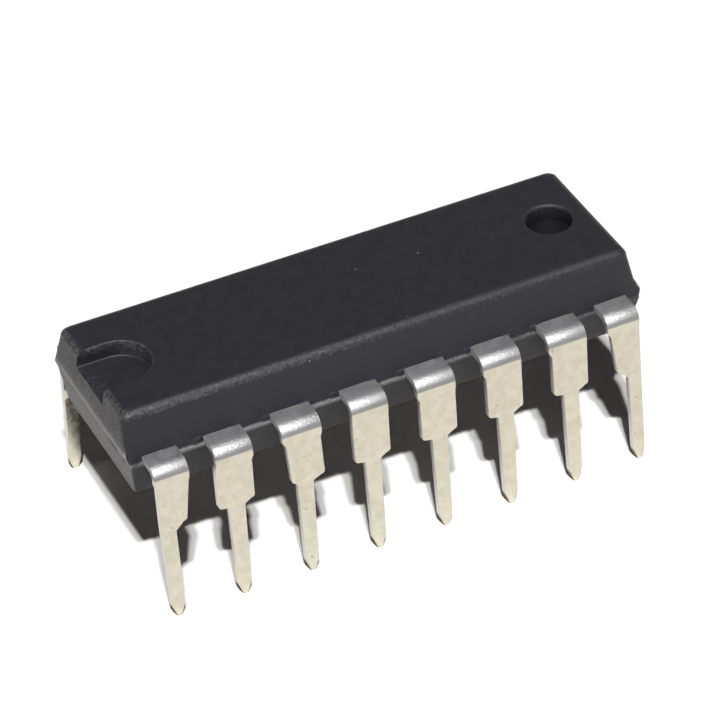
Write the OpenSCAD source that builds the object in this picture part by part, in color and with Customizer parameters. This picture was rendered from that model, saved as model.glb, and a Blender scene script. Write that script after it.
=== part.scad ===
// Integrated circuit in a dual in-line package: a moulded plastic body with sixteen bent leads.
// The chip stands on the tips of its leads, and z = 0 is the plane of those tips.
// x runs along the body from the notched end to the end with the round mark.
// y runs across the rows: leads 1 to 8 are on the -y side, leads 9 to 16 on the +y side.

/* [Body] */
// Length of the body at the parting line
body_l = 19.5; // [19:0.02:19.6]
// Width of the body at the parting line
body_w = 6.48; // [6.4:0.02:6.6]
// Thickness of the body
body_h = 3.25; // [3.1:0.05:3.6]
// Height of the lower half, from the underside to the parting line
lower_h = 1.37; // [1.2:0.01:1.5]
// How far each long upper wall leans in from the parting line to the top
upper_draft = 0.41; // [0.3:0.01:0.5]
// How far each long lower wall leans in from the parting line to the underside
lower_draft = 0.27; // [0.15:0.01:0.3]
// How far the upper walls of the two ends lean in
upper_end_draft = 0.26; // [0.05:0.01:0.3]
// How far the lower walls of the two ends lean in
lower_end_draft = 0.33; // [0.05:0.01:0.4]
// How far the long walls of the upper half step in at the parting line
parting_step = 0.05; // [0.03:0.01:0.1]
// How far the ridge of flash stands out at the end without the notch
flash_out = 0.15; // [0.08:0.01:0.18]
// Height of the lip above the lead frame at the end with the notch
lip_rise = 0.08; // [0.02:0.02:0.12]
// How far that end steps in from the lip to the underside of the lead frame
lip_step = 0.13; // [0.08:0.01:0.2]
// Radius of the upright corners, up to the parting line
corner_r = 0.15; // [0.1:0.05:0.3]
// Radius of the upright corners at the top
top_corner_r = 0.3; // [0.15:0.05:0.4]
// Radius of the top edges
edge_r = 0.3; // [0.1:0.05:0.35]

/* [Marks on the body] */
// Width of the notch that shows where lead 1 is
notch_w = 2.3; // [1.8:0.1:2.6]
// Length of the notch from the end of the body
notch_l = 2.43; // [2.1:0.01:2.5]
// Depth of the notch
notch_depth = 0.63; // [0.3:0.01:0.8]
// Diameter of the round mark at the other end
dimple_d = 1.64; // [1.2:0.02:1.8]
// Depth of the round mark
dimple_depth = 0.6; // [0.2:0.05:0.7]
// Distance of the round mark from the middle of the body
dimple_x = 7.95; // [7.5:0.05:8]
// How far the round mark stands off the centre line
dimple_y = 0.12; // [0:0.02:0.2]
// Depth of the small pits where the tie bars were cut, measured from the wall behind the flash
pit_depth = 0.06; // [0.03:0.01:0.12]

/* [Leads] */
// Distance between neighbouring leads
pitch = 2.54; // [2.54]
// Thickness of the lead frame
lead_t = 0.25; // [0.2:0.01:0.28]
// Distance from the tips up to the underside of the body
standoff = 4.45; // [4.2:0.05:4.6]
// Distance from the centre line to the outer face of a lead at its bend
row_face = 4.18; // [4.1:0.01:4.2]
// Outer radius of the bend
bend_r = 0.45; // [0.4:0.01:0.5]
// How far the legs spread outwards, in degrees
splay = 5.5; // [4:0.5:7]
// Width of a shoulder
shoulder_w = 1.36; // [1.25:0.01:1.4]
// How far the stub of the cut dam bar stands out on each side of a shoulder
dam_stub = 0.05; // [0:0.01:0.08]
// Distance from the tips up to the lower edge of the dam bar's stub
dam_z = 5.42; // [5.2:0.02:5.5]
// Distance from the tips up to the lower end of the shoulders
shoulder_z = 3.86; // [3.7:0.02:4]
// Height of the taper from the shoulder to the pin
shoulder_taper = 0.18; // [0.1:0.01:0.3]
// The same height on the two end leads of a row
end_taper = 0.34; // [0.1:0.02:0.5]
// Width of a pin below its shoulder
pin_w = 0.59; // [0.5:0.01:0.6]
// Width of a pin above its point
pin_low_w = 0.5; // [0.4:0.01:0.5]
// Length of the point
point_l = 0.5; // [0.3:0.05:0.6]
// Width of the flat end of the point
point_w = 0.18; // [0.12:0.01:0.3]
// Width of an end lead from its pin to the inner edge of its shoulder, at the bend
end_shoulder = 0.92; // [0.8:0.01:1]
// The same width at the lower end of the shoulder
end_shoulder_low = 0.72; // [0.6:0.01:0.75]
// Which lead of each row has a narrower foot to its shoulder
narrow_lead = 3; // [2:7]
// Half width of that foot on its outer side
narrow_foot = 0.48; // [0.36:0.02:0.6]

/* [Inside] */
// Length of the die pad
pad_l = 3.8; // [3:0.1:4]
// Width of the die pad
pad_w = 2.4; // [2:0.1:2.4]
// Width of the tie bars that hold the die pad
tie_w = 0.4; // [0.3:0.05:0.45]
// Length of the die
die_l = 1.8; // [1.6:0.1:2]
// Width of the die
die_w = 1.6; // [1.5:0.1:1.8]
// Thickness of the layer that bonds the die to its pad
bond_t = 0.03; // [0.02:0.01:0.05]
// Width of the lead fingers inside the body
finger_w = 0.45; // [0.35:0.05:0.45]
// Diameter of the bond wires
wire_d = 0.03; // [0.025:0.005:0.05]
// Height of the loop of a bond wire
loop_h = 0.25; // [0.2:0.01:0.35]

/* [Hidden] */

leads_per_row = 8;
last = leads_per_row - 1;
body_top = standoff + body_h;
parting_z = standoff + lower_h;
frame_top = parting_z + lead_t;
pit_x = body_l / 2 - pit_depth;
lip_z = frame_top + lip_rise;
lip_x = body_l / 2 - upper_end_draft * (lip_z - parting_z) / (body_h - lower_h);
notch_pit_x = lip_x - lip_step - pit_depth;
bend_in = bend_r - lead_t;
bend_y = row_face - bend_r;
bend_z = frame_top - bend_r;
leg_l = (bend_z + bend_in * sin(splay)) / cos(splay);
// Width and height where the point starts to turn blunt
point_mid_w = 0.36;
point_mid_l = 0.12;
// Number of straight steps in a bend, and how far its profile laps over the flat part
bend_steps = 12;
bend_lap = 0.1;
// Half the width of the strip that the legs are cut from
shoulder_reach = 1.2;
// Depth of the wide part of a lead inside the wall
root_depth = 0.45;
root_y = body_w / 2 - root_depth;
pad_top = parting_z;
die_bottom = pad_top + bond_t;
// Length of the slope that lowers the die pad below the lead frame
downset_l = 0.5;
// Place and sideways step of the tie bars before they leave the body
tie_jog_x = 7.4;
tie_end_x = 9.2;
tie_exit_y = 1.84;
// Where the ridge of flash starts, and the height of the slope above it
flash_x = 9.3;
flash_slope = 0.4;
// Size of a thin slice that shapes the mould halves
slice = 0.01;
// Distance that a cutting shape runs past what it cuts
past = 1;
// How far a bond sits back from the tip of a finger
bond_back = 0.2;
// Degrees that the arc of a wire runs on at each end, before it is cut off level
arc_past = 1;
// Degrees between the layers that round the top edges of the body
edge_step = 30;
// Size of the small slope round the underside
low_edge = 0.1;

// Knees and tips of the fingers of the leads on the left half of a row, as distances
// from the middle of the chip along the body and across it
knees = [[8.4, 2.15], [6.35, 2.3], [3.81, 2.45], [1.27, 2.45]];
tips = [[2.35, 0.64], [2.4, 1.27], [1.45, 1.6], [0.5, 1.6]];
// Where the wires of those leads stand on the die
die_bonds = [[0.78, 0.15], [0.78, 0.48], [0.5, 0.66], [0.18, 0.66]];

$fn = 48;
corner_fn = 24;

function side(k) = k < leads_per_row / 2 ? -1 : 1;
function half_index(k) = k < leads_per_row / 2 ? k : last - k;
function lead_x(k) = (k - last / 2) * pitch;
function placed(p, k) = [side(k) * p[0], -p[1]];
function finger_tip(k) = placed(tips[half_index(k)], k);
function finger_knee(k) = placed(knees[half_index(k)], k);

function unit(v) = v / norm(v);
function across(a, b) = let (d = unit(b - a)) [-d[1], d[0]];
function mitre(a, b, c) = let (n = across(a, b), m = unit(n + across(b, c))) m / (m * n);

// Offsets of each point of a route, square to it, for a strip one unit wide on each side
function offsets(p) = [for (i = [0:len(p) - 1])
    i == 0 ? across(p[0], p[1]) :
    i == len(p) - 1 ? across(p[i - 1], p[i]) :
    mitre(p[i - 1], p[i], p[i + 1])];

// Outline of a strip of width w along a route
function strip(p, w) = let (o = offsets(p), n = len(p) - 1)
    concat([for (i = [0:n]) p[i] + o[i] * w / 2], [for (i = [n:-1:0]) p[i] - o[i] * w / 2]);

// Half widths of a shoulder to one side of its pin: above the dam bar's cut, below it, and
// at the foot, with the height of the taper below
plain_side = [shoulder_w / 2 + dam_stub, shoulder_w / 2, shoulder_w / 2, shoulder_taper];
narrow_side = [shoulder_w / 2 + dam_stub, shoulder_w / 2, narrow_foot, shoulder_taper];
end_outer_side = [pin_w / 2, pin_w / 2, pin_w / 2, 0];
end_inner_side = [end_shoulder + dam_stub, end_shoulder, end_shoulder_low, end_taper];
function left_side(k) = k == 0 ? end_outer_side : k == last ? end_inner_side :
    k == narrow_lead - 1 ? narrow_side : plain_side;
function right_side(k) = k == 0 ? end_inner_side : k == last ? end_outer_side : plain_side;

// A thin rounded rectangle at height z, for a hull
module layer(l, w, r, z) {
    for (x = [-1, 1], y = [-1, 1])
        translate([x * (l / 2 - r), y * (w / 2 - r), z])
            cylinder(r = r, h = slice, $fn = corner_fn);
}

// How far a drafted wall stands in at an angle of the rounding at its top
function lean(draft) = draft * (1 - edge_r / (body_h - lower_h));
function rounded_in(draft, a) = lean(draft) + (draft - lean(draft) + edge_r) * (1 - cos(a));

// Upper mould half, with drafted walls and rounded top edges
module upper_half() {
    w = body_w - 2 * parting_step;
    hull() {
        layer(body_l, w, corner_r, parting_z);
        for (a = [0:edge_step:90])
            layer(body_l - 2 * rounded_in(upper_end_draft, a), w - 2 * rounded_in(upper_draft, a),
                top_corner_r, body_top - slice - edge_r * (1 - sin(a)));
    }
}

// Lower mould half, a little wider than the upper one at the parting line
module lower_half() {
    l = body_l - 2 * lower_end_draft;
    w = body_w - 2 * lower_draft;
    hull() {
        layer(body_l, body_w, corner_r, parting_z - slice);
        layer(l, w, corner_r, standoff + low_edge);
        layer(l - 2 * low_edge, w - 2 * low_edge, corner_r, standoff);
    }
}

// Ridge of flash round the end without the notch, sharpest at the top of the lead frame
module end_flash() {
    w = body_w - 2 * parting_step;
    upper_h = body_h - lower_h;
    height = (lead_t + flash_slope) / upper_h;
    r = corner_r + (top_corner_r - corner_r) * (lead_t + flash_slope) / (upper_h - edge_r);
    intersection() {
        hull() {
            layer(body_l, w, corner_r, parting_z - slice);
            layer(body_l + 2 * flash_out, w, corner_r, frame_top);
            layer(body_l - 2 * upper_end_draft * height, w - 2 * upper_draft * height,
                r, frame_top + flash_slope);
        }
        translate([flash_x, -body_w, 0])
            cube([body_l, 2 * body_w, 2 * body_top]);
    }
}

// What is missing under the lip at the end with the notch, as a cutting shape
module under_lip() {
    low_x = body_l / 2 - lower_end_draft;
    rotate([90, 0, 0])
        linear_extrude(body_w + past, center = true)
            polygon([
                [-lip_x, lip_z],
                [-lip_x + lip_step, parting_z],
                [-low_x, standoff],
                [-low_x, standoff - past],
                [-body_l, standoff - past],
                [-body_l, lip_z]
            ]);
}

module notch() {
    start = -body_l / 2;
    centre = start + notch_l - notch_w / 2;
    translate([0, 0, body_top - notch_depth])
        linear_extrude(notch_depth + past) {
            translate([start - past, -notch_w / 2])
                square([centre - start + past, notch_w]);
            translate([centre, 0])
                circle(d = notch_w);
        }
}

module dimple() {
    translate([dimple_x, dimple_y, body_top - dimple_depth])
        cylinder(d = dimple_d, h = dimple_depth + past);
}

// Pits at the ends where the tie bars were cut off short, and one where the flash broke out
module pits() {
    tie_pit_w = 0.7;
    second_y = 2.72;
    second_w = 0.34;
    second_h = 0.18;
    for (end = [[-1, notch_pit_x], [1, pit_x]])
        for (pit = [[tie_exit_y, lead_t, tie_pit_w], [second_y, second_h, second_w]])
            translate([end[0] * (end[1] + past / 2), end[0] * pit[0], parting_z + pit[1] / 2])
                cube([past, pit[2], pit[1]], center = true);
}

// Everything that the plastic is moulded round
module embedded() {
    for (row = [0, 1], k = [0:last])
        in_row(row) {
            lead(k);
            bond_wire(k);
        }
    die_pad();
    die_attach();
    die();
}

module body() {
    color("#323137")
        difference() {
            union() {
                upper_half();
                lower_half();
                end_flash();
            }
            under_lip();
            notch();
            dimple();
            pits();
            embedded();
        }
}

// Row 0 is the -y side, row 1 the same leads turned half round
module in_row(row) {
    rotate([0, 0, 180 * row]) children();
}

// The flat part of a lead: its root in the wall and its finger inside the body
module lead_flat(k) {
    left = left_side(k)[0];
    right = right_side(k)[0];
    translate([0, 0, parting_z])
        linear_extrude(lead_t) {
            translate([lead_x(k) - left, -bend_y])
                square([left + right, bend_y - root_y]);
            polygon(strip([[finger_knee(k)[0], -root_y], finger_knee(k), finger_tip(k)], finger_w));
        }
}

// Side view of the bend and the leg, with distances from the centre line as the first value
function bend_arc(r) = [for (i = [0:bend_steps])
    let (a = (90 - splay) * i / bend_steps)
        [bend_y + r * sin(a), bend_z + r * cos(a)]];
function leg_end(r) = bend_arc(r)[bend_steps] + leg_l * [sin(splay), -cos(splay)];
function reversed(v) = [for (i = [len(v) - 1:-1:0]) v[i]];
function side_view() = concat(
    [[bend_y - bend_lap, frame_top]], bend_arc(bend_r), [leg_end(bend_r)],
    [leg_end(bend_in)], reversed(bend_arc(bend_in)), [[bend_y - bend_lap, parting_z]]);

// Half of the front view of a leg: a stub, a shoulder, then a pin with a blunt point
function front_half(w) = [
    [w[0], frame_top + past],
    [w[0], dam_z],
    [w[1], dam_z - (w[0] - w[1])],
    [w[2], shoulder_z],
    [pin_w / 2, shoulder_z - w[3]],
    [pin_low_w / 2, point_l],
    [point_mid_w / 2, point_mid_l],
    [point_w / 2, 0],
    [point_w / 2, -past]
];
function mirrored(v) = [for (q = v) [-q[0], q[1]]];

module lead_leg(k) {
    intersection() {
        translate([lead_x(k) - shoulder_reach, 0, 0])
            rotate([90, 0, 90])
                linear_extrude(2 * shoulder_reach)
                    polygon(mirrored(side_view()));
        translate([lead_x(k), 0, 0])
            rotate([90, 0, 0])
                linear_extrude(row_face + leg_l)
                    polygon(concat(mirrored(front_half(left_side(k))),
                        reversed(front_half(right_side(k)))));
    }
}

// One lead of a row, stamped and bent from one strip
module lead(k) {
    color("#d9ceb6") {
        lead_flat(k);
        lead_leg(k);
    }
}

// The pad under the die and the two tie bars that held it in the frame
module die_pad() {
    color("#c9c4b8") {
        translate([0, 0, pad_top - lead_t / 2])
            cube([pad_l, pad_w, lead_t], center = true);
        in_row(0)
            tie_bar(notch_pit_x);
        in_row(1)
            tie_bar(pit_x);
    }
}

// A tie bar that ends in a pit at a distance from the middle
module tie_bar(end_x) {
    start = pad_l / 2;
    low = start + downset_l;
    translate([0, tie_w / 2, 0])
        rotate([90, 0, 0])
            linear_extrude(tie_w)
                polygon([
                    [-start, pad_top - lead_t],
                    [-low, pad_top],
                    [-low, pad_top + lead_t],
                    [-start, pad_top]
                ]);
    translate([0, 0, parting_z])
        linear_extrude(lead_t)
            polygon(strip([[-low, 0], [-tie_jog_x, 0], [-tie_end_x, -tie_exit_y],
                [-end_x, -tie_exit_y]], tie_w));
}

module die_attach() {
    color("#a8a49a")
        translate([0, 0, pad_top + bond_t / 2])
            cube([die_l, die_w, bond_t], center = true);
}

module die() {
    color("#6d7078")
        translate([-die_l / 2, -die_w / 2, die_bottom])
            cube([die_l, die_w, frame_top - die_bottom]);
}

// A gold wire that loops from the top of the die to the tip of a finger
module bond_wire(k) {
    a = placed(die_bonds[half_index(k)], k);
    b = finger_tip(k) + bond_back * unit(finger_knee(k) - finger_tip(k));
    mid = (a + b) / 2;
    half = norm(b - a) / 2;
    r = (half * half + loop_h * loop_h) / (2 * loop_h);
    sweep = 2 * (asin(half / r) + arc_past);
    color("#d8b04a")
        translate([mid[0], mid[1], frame_top])
            rotate([0, 0, atan2(b[1] - a[1], b[0] - a[0])])
                intersection() {
                    translate([0, 0, loop_h - r])
                        rotate([90, 0, 0])
                            rotate_extrude(angle = sweep, start = 90 - sweep / 2)
                                translate([r, 0])
                                    circle(d = wire_d, $fn = 8);
                    translate([-half - past, -past, 0])
                        cube([2 * (half + past), 2 * past, loop_h + past]);
                }
}

body();
in_row(0) lead(0);  // lead_1
in_row(0) lead(1);  // lead_2
in_row(0) lead(2);  // lead_3
in_row(0) lead(3);  // lead_4
in_row(0) lead(4);  // lead_5
in_row(0) lead(5);  // lead_6
in_row(0) lead(6);  // lead_7
in_row(0) lead(7);  // lead_8
in_row(1) lead(0);  // lead_9
in_row(1) lead(1);  // lead_10
in_row(1) lead(2);  // lead_11
in_row(1) lead(3);  // lead_12
in_row(1) lead(4);  // lead_13
in_row(1) lead(5);  // lead_14
in_row(1) lead(6);  // lead_15
in_row(1) lead(7);  // lead_16
die_pad();
die_attach();
die();
in_row(0) bond_wire(0);  // bond_wire_1
in_row(0) bond_wire(1);  // bond_wire_2
in_row(0) bond_wire(2);  // bond_wire_3
in_row(0) bond_wire(3);  // bond_wire_4
in_row(0) bond_wire(4);  // bond_wire_5
in_row(0) bond_wire(5);  // bond_wire_6
in_row(0) bond_wire(6);  // bond_wire_7
in_row(0) bond_wire(7);  // bond_wire_8
in_row(1) bond_wire(0);  // bond_wire_9
in_row(1) bond_wire(1);  // bond_wire_10
in_row(1) bond_wire(2);  // bond_wire_11
in_row(1) bond_wire(3);  // bond_wire_12
in_row(1) bond_wire(4);  // bond_wire_13
in_row(1) bond_wire(5);  // bond_wire_14
in_row(1) bond_wire(6);  // bond_wire_15
in_row(1) bond_wire(7);  // bond_wire_16
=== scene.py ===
"""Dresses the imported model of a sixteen-lead integrated circuit and sets its studio.

The chip is a black moulded body with a row of plated leads on each long side. It stands on the
tips of its leads on a pale floor. Lengths in the classes are in millimetres, because that is how
such a chip is drawn, and they become metres only where a mesh is made.
"""
import logging
import math
from dataclasses import dataclass, field
from enum import Enum
from typing import Callable, Iterable, Sequence

import bmesh
import bpy
from mathutils import Matrix, Vector, kdtree, noise

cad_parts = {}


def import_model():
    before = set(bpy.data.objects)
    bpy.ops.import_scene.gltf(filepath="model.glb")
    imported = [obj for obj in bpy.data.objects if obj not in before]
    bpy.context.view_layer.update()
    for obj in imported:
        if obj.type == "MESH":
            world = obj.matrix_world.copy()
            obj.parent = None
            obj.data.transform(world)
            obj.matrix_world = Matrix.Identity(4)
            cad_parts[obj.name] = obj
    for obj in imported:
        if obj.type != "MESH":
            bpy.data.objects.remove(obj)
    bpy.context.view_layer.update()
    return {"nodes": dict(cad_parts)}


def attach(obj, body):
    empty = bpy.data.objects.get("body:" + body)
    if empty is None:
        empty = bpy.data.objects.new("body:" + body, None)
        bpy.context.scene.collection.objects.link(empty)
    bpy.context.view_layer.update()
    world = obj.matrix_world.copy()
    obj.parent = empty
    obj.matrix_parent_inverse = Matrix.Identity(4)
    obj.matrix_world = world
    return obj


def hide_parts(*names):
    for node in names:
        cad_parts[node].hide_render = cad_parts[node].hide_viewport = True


LOG = logging.getLogger("chip")
MM = 0.001
UP = Vector((0.0, 0.0, 1.0))
Colour = tuple[float, float, float]
Ring = tuple[float, float, float]
Outline = list[tuple[float, float]]
Socket = bpy.types.NodeSocket
# Pale edge paint on the body: partly real abrasion, partly painted glints and painted light.
WEAR_AND_LIGHT = "wear_and_painted_light"
# Painted shade in the pits and the inside of the round mark.
HOLLOW_SHADE = "hollow_shade"


class Hand(Enum):
    """The two sides of a lead, seen from in front of its row."""

    LEFT = -1
    RIGHT = 1


# Mesh tools


def clear_selection() -> None:
    """Goes to object mode and deselects everything."""
    if bpy.context.object is not None and bpy.context.object.mode != "OBJECT":
        bpy.ops.object.mode_set(mode="OBJECT")
    bpy.ops.object.select_all(action="DESELECT")


def make_active(piece: bpy.types.Object) -> None:
    """Selects one object alone and makes it the active one.

    Args:
        piece: The object.
    """
    clear_selection()
    piece.select_set(True)
    bpy.context.view_layer.objects.active = piece


def apply_modifier(piece: bpy.types.Object, kind: str, **settings: object) -> None:
    """Adds a modifier to a piece, sets it and applies it.

    Args:
        piece: The object that takes the modifier.
        kind: The modifier's type, as Blender names it.
        settings: Values for the modifier's own fields.
    """
    make_active(piece)
    modifier = piece.modifiers.new(kind.lower(), kind)
    for name, value in settings.items():
        setattr(modifier, name, value)
    bpy.ops.object.modifier_apply(modifier=modifier.name)


def smooth(piece: bpy.types.Object, degrees: float) -> None:
    """Shades a piece smooth, with creases where faces meet at more than an angle.

    Large faces keep their own direction, so that the narrow bevels round them carry the shading.

    Args:
        piece: The object to shade.
        degrees: The least angle of a crease.
    """
    make_active(piece)
    bpy.ops.object.shade_smooth_by_angle(angle=math.radians(degrees))
    apply_modifier(piece, "WEIGHTED_NORMAL", mode="FACE_AREA", weight=50, keep_sharp=True)


def select_edges(piece: bpy.types.Object, test: Callable[[bmesh.types.BMEdge], bool]) -> int:
    """Selects edges of the piece in edit mode by a test.

    Args:
        piece: The object in edit mode.
        test: Says whether an edge is selected.

    Returns:
        The number of edges selected.
    """
    mesh = bmesh.from_edit_mesh(piece.data)
    bpy.ops.mesh.select_all(action="DESELECT")
    bpy.ops.mesh.select_mode(type="EDGE")
    count = 0
    for edge in mesh.edges:
        if test(edge):
            edge.select_set(True)
            count += 1
    bmesh.update_edit_mesh(piece.data)
    return count


def turned_copy(piece: bpy.types.Object, name: str) -> bpy.types.Object:
    """Copies a piece with its own mesh, turned half round about the upright axis.

    Args:
        piece: The piece to copy.
        name: The name of the copy.

    Returns:
        The copy, with its place in its mesh and nothing declared about it yet.
    """
    copy = piece.copy()
    copy.data = piece.data.copy()
    copy.name = copy.data.name = name
    copy.data.transform(Matrix.Rotation(math.pi, 4, "Z"))
    for key in [key for key in copy.keys() if key.startswith("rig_")]:
        del copy[key]
    bpy.context.scene.collection.objects.link(copy)
    return copy


def ramp(value: float, low: float, high: float) -> float:
    """Rises smoothly from 0 at low to 1 at high, in either order of the two."""
    share = max(0.0, min(1.0, (value - low) / (high - low)))
    return share * share * (3.0 - 2.0 * share)


def between(value: float, nodes: Sequence[tuple[float, float]]) -> float:
    """Reads a broken line through nodes that are sorted by their first value.

    Args:
        value: Where to read the line.
        nodes: Points of the line.

    Returns:
        The second value there, level beyond the two ends.
    """
    if value <= nodes[0][0]:
        return nodes[0][1]
    for (a, p), (b, q) in zip(nodes, nodes[1:]):
        if value <= b:
            return p + (q - p) * (value - a) / (b - a)
    return nodes[-1][1]


# Finishes


class Nodes:
    """Places and links the nodes of one shader tree."""

    def __init__(self, tree: bpy.types.NodeTree) -> None:
        """Starts from a tree, which is left as it is."""
        self.tree = tree
        self.count = 0

    def put(self, kind: str, **settings: object) -> bpy.types.Node:
        """Adds a node and sets its fields.

        Args:
            kind: The node's type.
            settings: Values for its fields.

        Returns:
            The node.
        """
        node = self.tree.nodes.new(kind)
        node.location = (200 * (self.count % 12), -260 * (self.count // 12))
        self.count += 1
        for name, value in settings.items():
            setattr(node, name, value)
        return node

    def feed(self, value: object, target: Socket) -> None:
        """Links a socket to the target, or writes a plain value on it.

        Args:
            value: A socket or a plain value.
            target: The input that takes it.
        """
        if isinstance(value, bpy.types.NodeSocket):
            self.tree.links.new(value, target)
        else:
            target.default_value = value

    def sum(self, operation: str, *values: object, clamp: bool = False) -> Socket:
        """Works out a number.

        Args:
            operation: What the Math node does.
            values: Sockets or numbers.
            clamp: Whether the result is held between 0 and 1.

        Returns:
            The result's socket.
        """
        node = self.put("ShaderNodeMath", operation=operation, use_clamp=clamp)
        for value, target in zip(values, node.inputs):
            self.feed(value, target)
        return node.outputs[0]

    def step(self, value: Socket, low: float, high: float) -> Socket:
        """Rises smoothly from 0 to 1 while a value goes from low to high.

        Args:
            value: The value's socket.
            low: Where the result is 0.
            high: Where the result is 1, which may be less than low.

        Returns:
            The result's socket.
        """
        node = self.put("ShaderNodeMapRange", interpolation_type="SMOOTHSTEP")
        rising = high > low
        numbers = (low, high, 0.0, 1.0) if rising else (high, low, 1.0, 0.0)
        self.feed(value, node.inputs["Value"])
        for number, name in zip(numbers, ("From Min", "From Max", "To Min", "To Max")):
            node.inputs[name].default_value = number
        return node.outputs["Result"]

    def blend(self, share: object, first: object, second: object, how: str = "MIX") -> Socket:
        """Mixes two colours.

        Args:
            share: How much of the second colour, as a socket or a number.
            first: The first colour.
            second: The second colour.
            how: The blend type.

        Returns:
            The mixed colour's socket.
        """
        node = self.put("ShaderNodeMix", data_type="RGBA", blend_type=how)
        self.feed(share, node.inputs[0])
        self.feed(rgba(first), node.inputs[6])
        self.feed(rgba(second), node.inputs[7])
        return node.outputs[2]

    def layers(self, ground: object, *layers: tuple[Socket, object]) -> Socket:
        """Lays colours one over the other.

        Args:
            ground: The lowest colour.
            layers: How much of what lies below each colour covers, and the colour.

        Returns:
            The socket of what is seen in the end.
        """
        for share, colour in layers:
            ground = self.blend(share, ground, colour)
        return ground

    def weigh(self, start: object, *shares: tuple[Socket, float]) -> Socket:
        """Adds shares of some sockets to a number.

        Args:
            start: The number.
            shares: Each socket with its factor.

        Returns:
            The result's socket.
        """
        for share, factor in shares:
            start = self.sum("MULTIPLY_ADD", share, factor, start)
        return start

    def split(self, vector: Socket) -> bpy.types.NodeOutputs:
        """Splits a vector.

        Args:
            vector: The vector's socket.

        Returns:
            The sockets X, Y and Z.
        """
        node = self.put("ShaderNodeSeparateXYZ")
        self.feed(vector, node.inputs[0])
        return node.outputs

    def noise(self, vector: Socket, scale: object, detail: float = 3.0, rough: float = 0.5) -> Socket:
        """Reads a noise pattern.

        Args:
            vector: Where the pattern is read.
            scale: Its scale for each unit of the vector, as a socket or a number.
            detail: How many finer layers it has.
            rough: How strong the finer layers are.

        Returns:
            The pattern's socket.
        """
        node = self.put("ShaderNodeTexNoise")
        values = {"Vector": vector, "Scale": scale, "Detail": detail, "Roughness": rough}
        for name, value in values.items():
            self.feed(value, node.inputs[name])
        return node.outputs["Fac"]

    def group(self, tree: bpy.types.NodeTree, **values: object) -> bpy.types.NodeOutputs:
        """Places a node group and feeds its inputs by name.

        Args:
            tree: The group.
            values: Sockets or plain values for its inputs.

        Returns:
            The group's outputs.
        """
        node = self.put("ShaderNodeGroup", node_tree=tree)
        for name, value in values.items():
            self.feed(value, node.inputs[name])
        return node.outputs


def rgba(colour: object) -> object:
    """Gives a plain colour its fourth value, and passes a socket on."""
    return colour if isinstance(colour, bpy.types.NodeSocket) else (*colour, 1.0)


def empty_nodes(owner: bpy.types.ID) -> Nodes:
    """Turns the nodes of a material or a world on and clears them.

    Args:
        owner: The material or the world.

    Returns:
        The tools for its tree.
    """
    owner.use_nodes = True
    owner.node_tree.nodes.clear()
    return Nodes(owner.node_tree)


def new_group(
    name: str, inputs: Iterable[str], outputs: Iterable[str]
) -> tuple[Nodes, bpy.types.NodeOutputs, bpy.types.NodeInputs]:
    """Makes an empty node group with named sockets.

    Args:
        name: The group's name.
        inputs: Names of the inputs. The one called Vector is a vector, and the rest are numbers.
        outputs: Names of the outputs, which are numbers.

    Returns:
        The tools for the group's tree, the sockets that it is given and those that it fills.
    """
    tree = bpy.data.node_groups.new(name, "ShaderNodeTree")
    for way, titles in (("INPUT", inputs), ("OUTPUT", outputs)):
        for title in titles:
            kind = "NodeSocketVector" if title == "Vector" else "NodeSocketFloat"
            tree.interface.new_socket(name=title, in_out=way, socket_type=kind)
    nodes = Nodes(tree)
    return nodes, nodes.put("NodeGroupInput").outputs, nodes.put("NodeGroupOutput").inputs


class SharedEffects:
    """Node groups that more than one finish uses, each made once."""

    def __init__(self) -> None:
        """Builds all the groups."""
        self.grain = self.make_grain()
        self.edge_wear_and_light = self.make_edge_wear_and_light()
        self.specks = self.make_specks()

    def make_grain(self) -> bpy.types.NodeTree:
        """Makes a fine grain over a slower mottle, as a height and a mask.

        Returns:
            The group.
        """
        nodes, given, result = new_group(
            "surface_grain", ("Vector", "Fine", "Coarse", "Share"), ("Height", "Mottle")
        )
        fine = nodes.noise(given["Vector"], given["Fine"], detail=4.0)
        coarse = nodes.noise(given["Vector"], given["Coarse"], detail=4.0)
        slow = nodes.sum("MULTIPLY", coarse, nodes.sum("SUBTRACT", 1.0, given["Share"]))
        nodes.feed(nodes.sum("MULTIPLY_ADD", fine, given["Share"], slow), result["Height"])
        nodes.feed(nodes.step(coarse, 0.35, 0.65), result["Mottle"])
        return nodes.tree

    def make_edge_wear_and_light(self) -> bpy.types.NodeTree:
        """Makes a mask that breaks an edge line up into patches, for pale edge paint that is partly real
        abrasion and partly painted glints and painted light.

        Returns:
            The group.
        """
        nodes, given, result = new_group("edge_wear_and_light", ("Vector", "Edge", "Scale", "Cover"), ("Mask",))
        patches = nodes.noise(given["Vector"], given["Scale"], detail=5.0, rough=0.65)
        reach = nodes.sum("MULTIPLY", given["Edge"], given["Cover"])
        pale_wear_and_light = nodes.step(nodes.sum("ADD", patches, reach), 0.55, 1.05)
        nodes.feed(nodes.sum("MULTIPLY", pale_wear_and_light, given["Edge"]), result["Mask"])
        return nodes.tree

    def make_specks(self) -> bpy.types.NodeTree:
        """Makes sparse small dots, such as dust or filler grains.

        Returns:
            The group.
        """
        nodes, given, result = new_group("specks", ("Vector", "Scale", "Rarity", "Radius"), ("Mask",))
        cells = nodes.put("ShaderNodeTexVoronoi")
        for name in ("Vector", "Scale"):
            nodes.feed(given[name], cells.inputs[name])
        inside = nodes.sum("LESS_THAN", cells.outputs["Distance"], given["Radius"])
        parts = nodes.put("ShaderNodeSeparateColor")
        nodes.feed(cells.outputs["Color"], parts.inputs[0])
        chosen = nodes.sum("GREATER_THAN", parts.outputs[0], given["Rarity"])
        nodes.feed(nodes.sum("MULTIPLY", inside, chosen), result["Mask"])
        return nodes.tree


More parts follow.
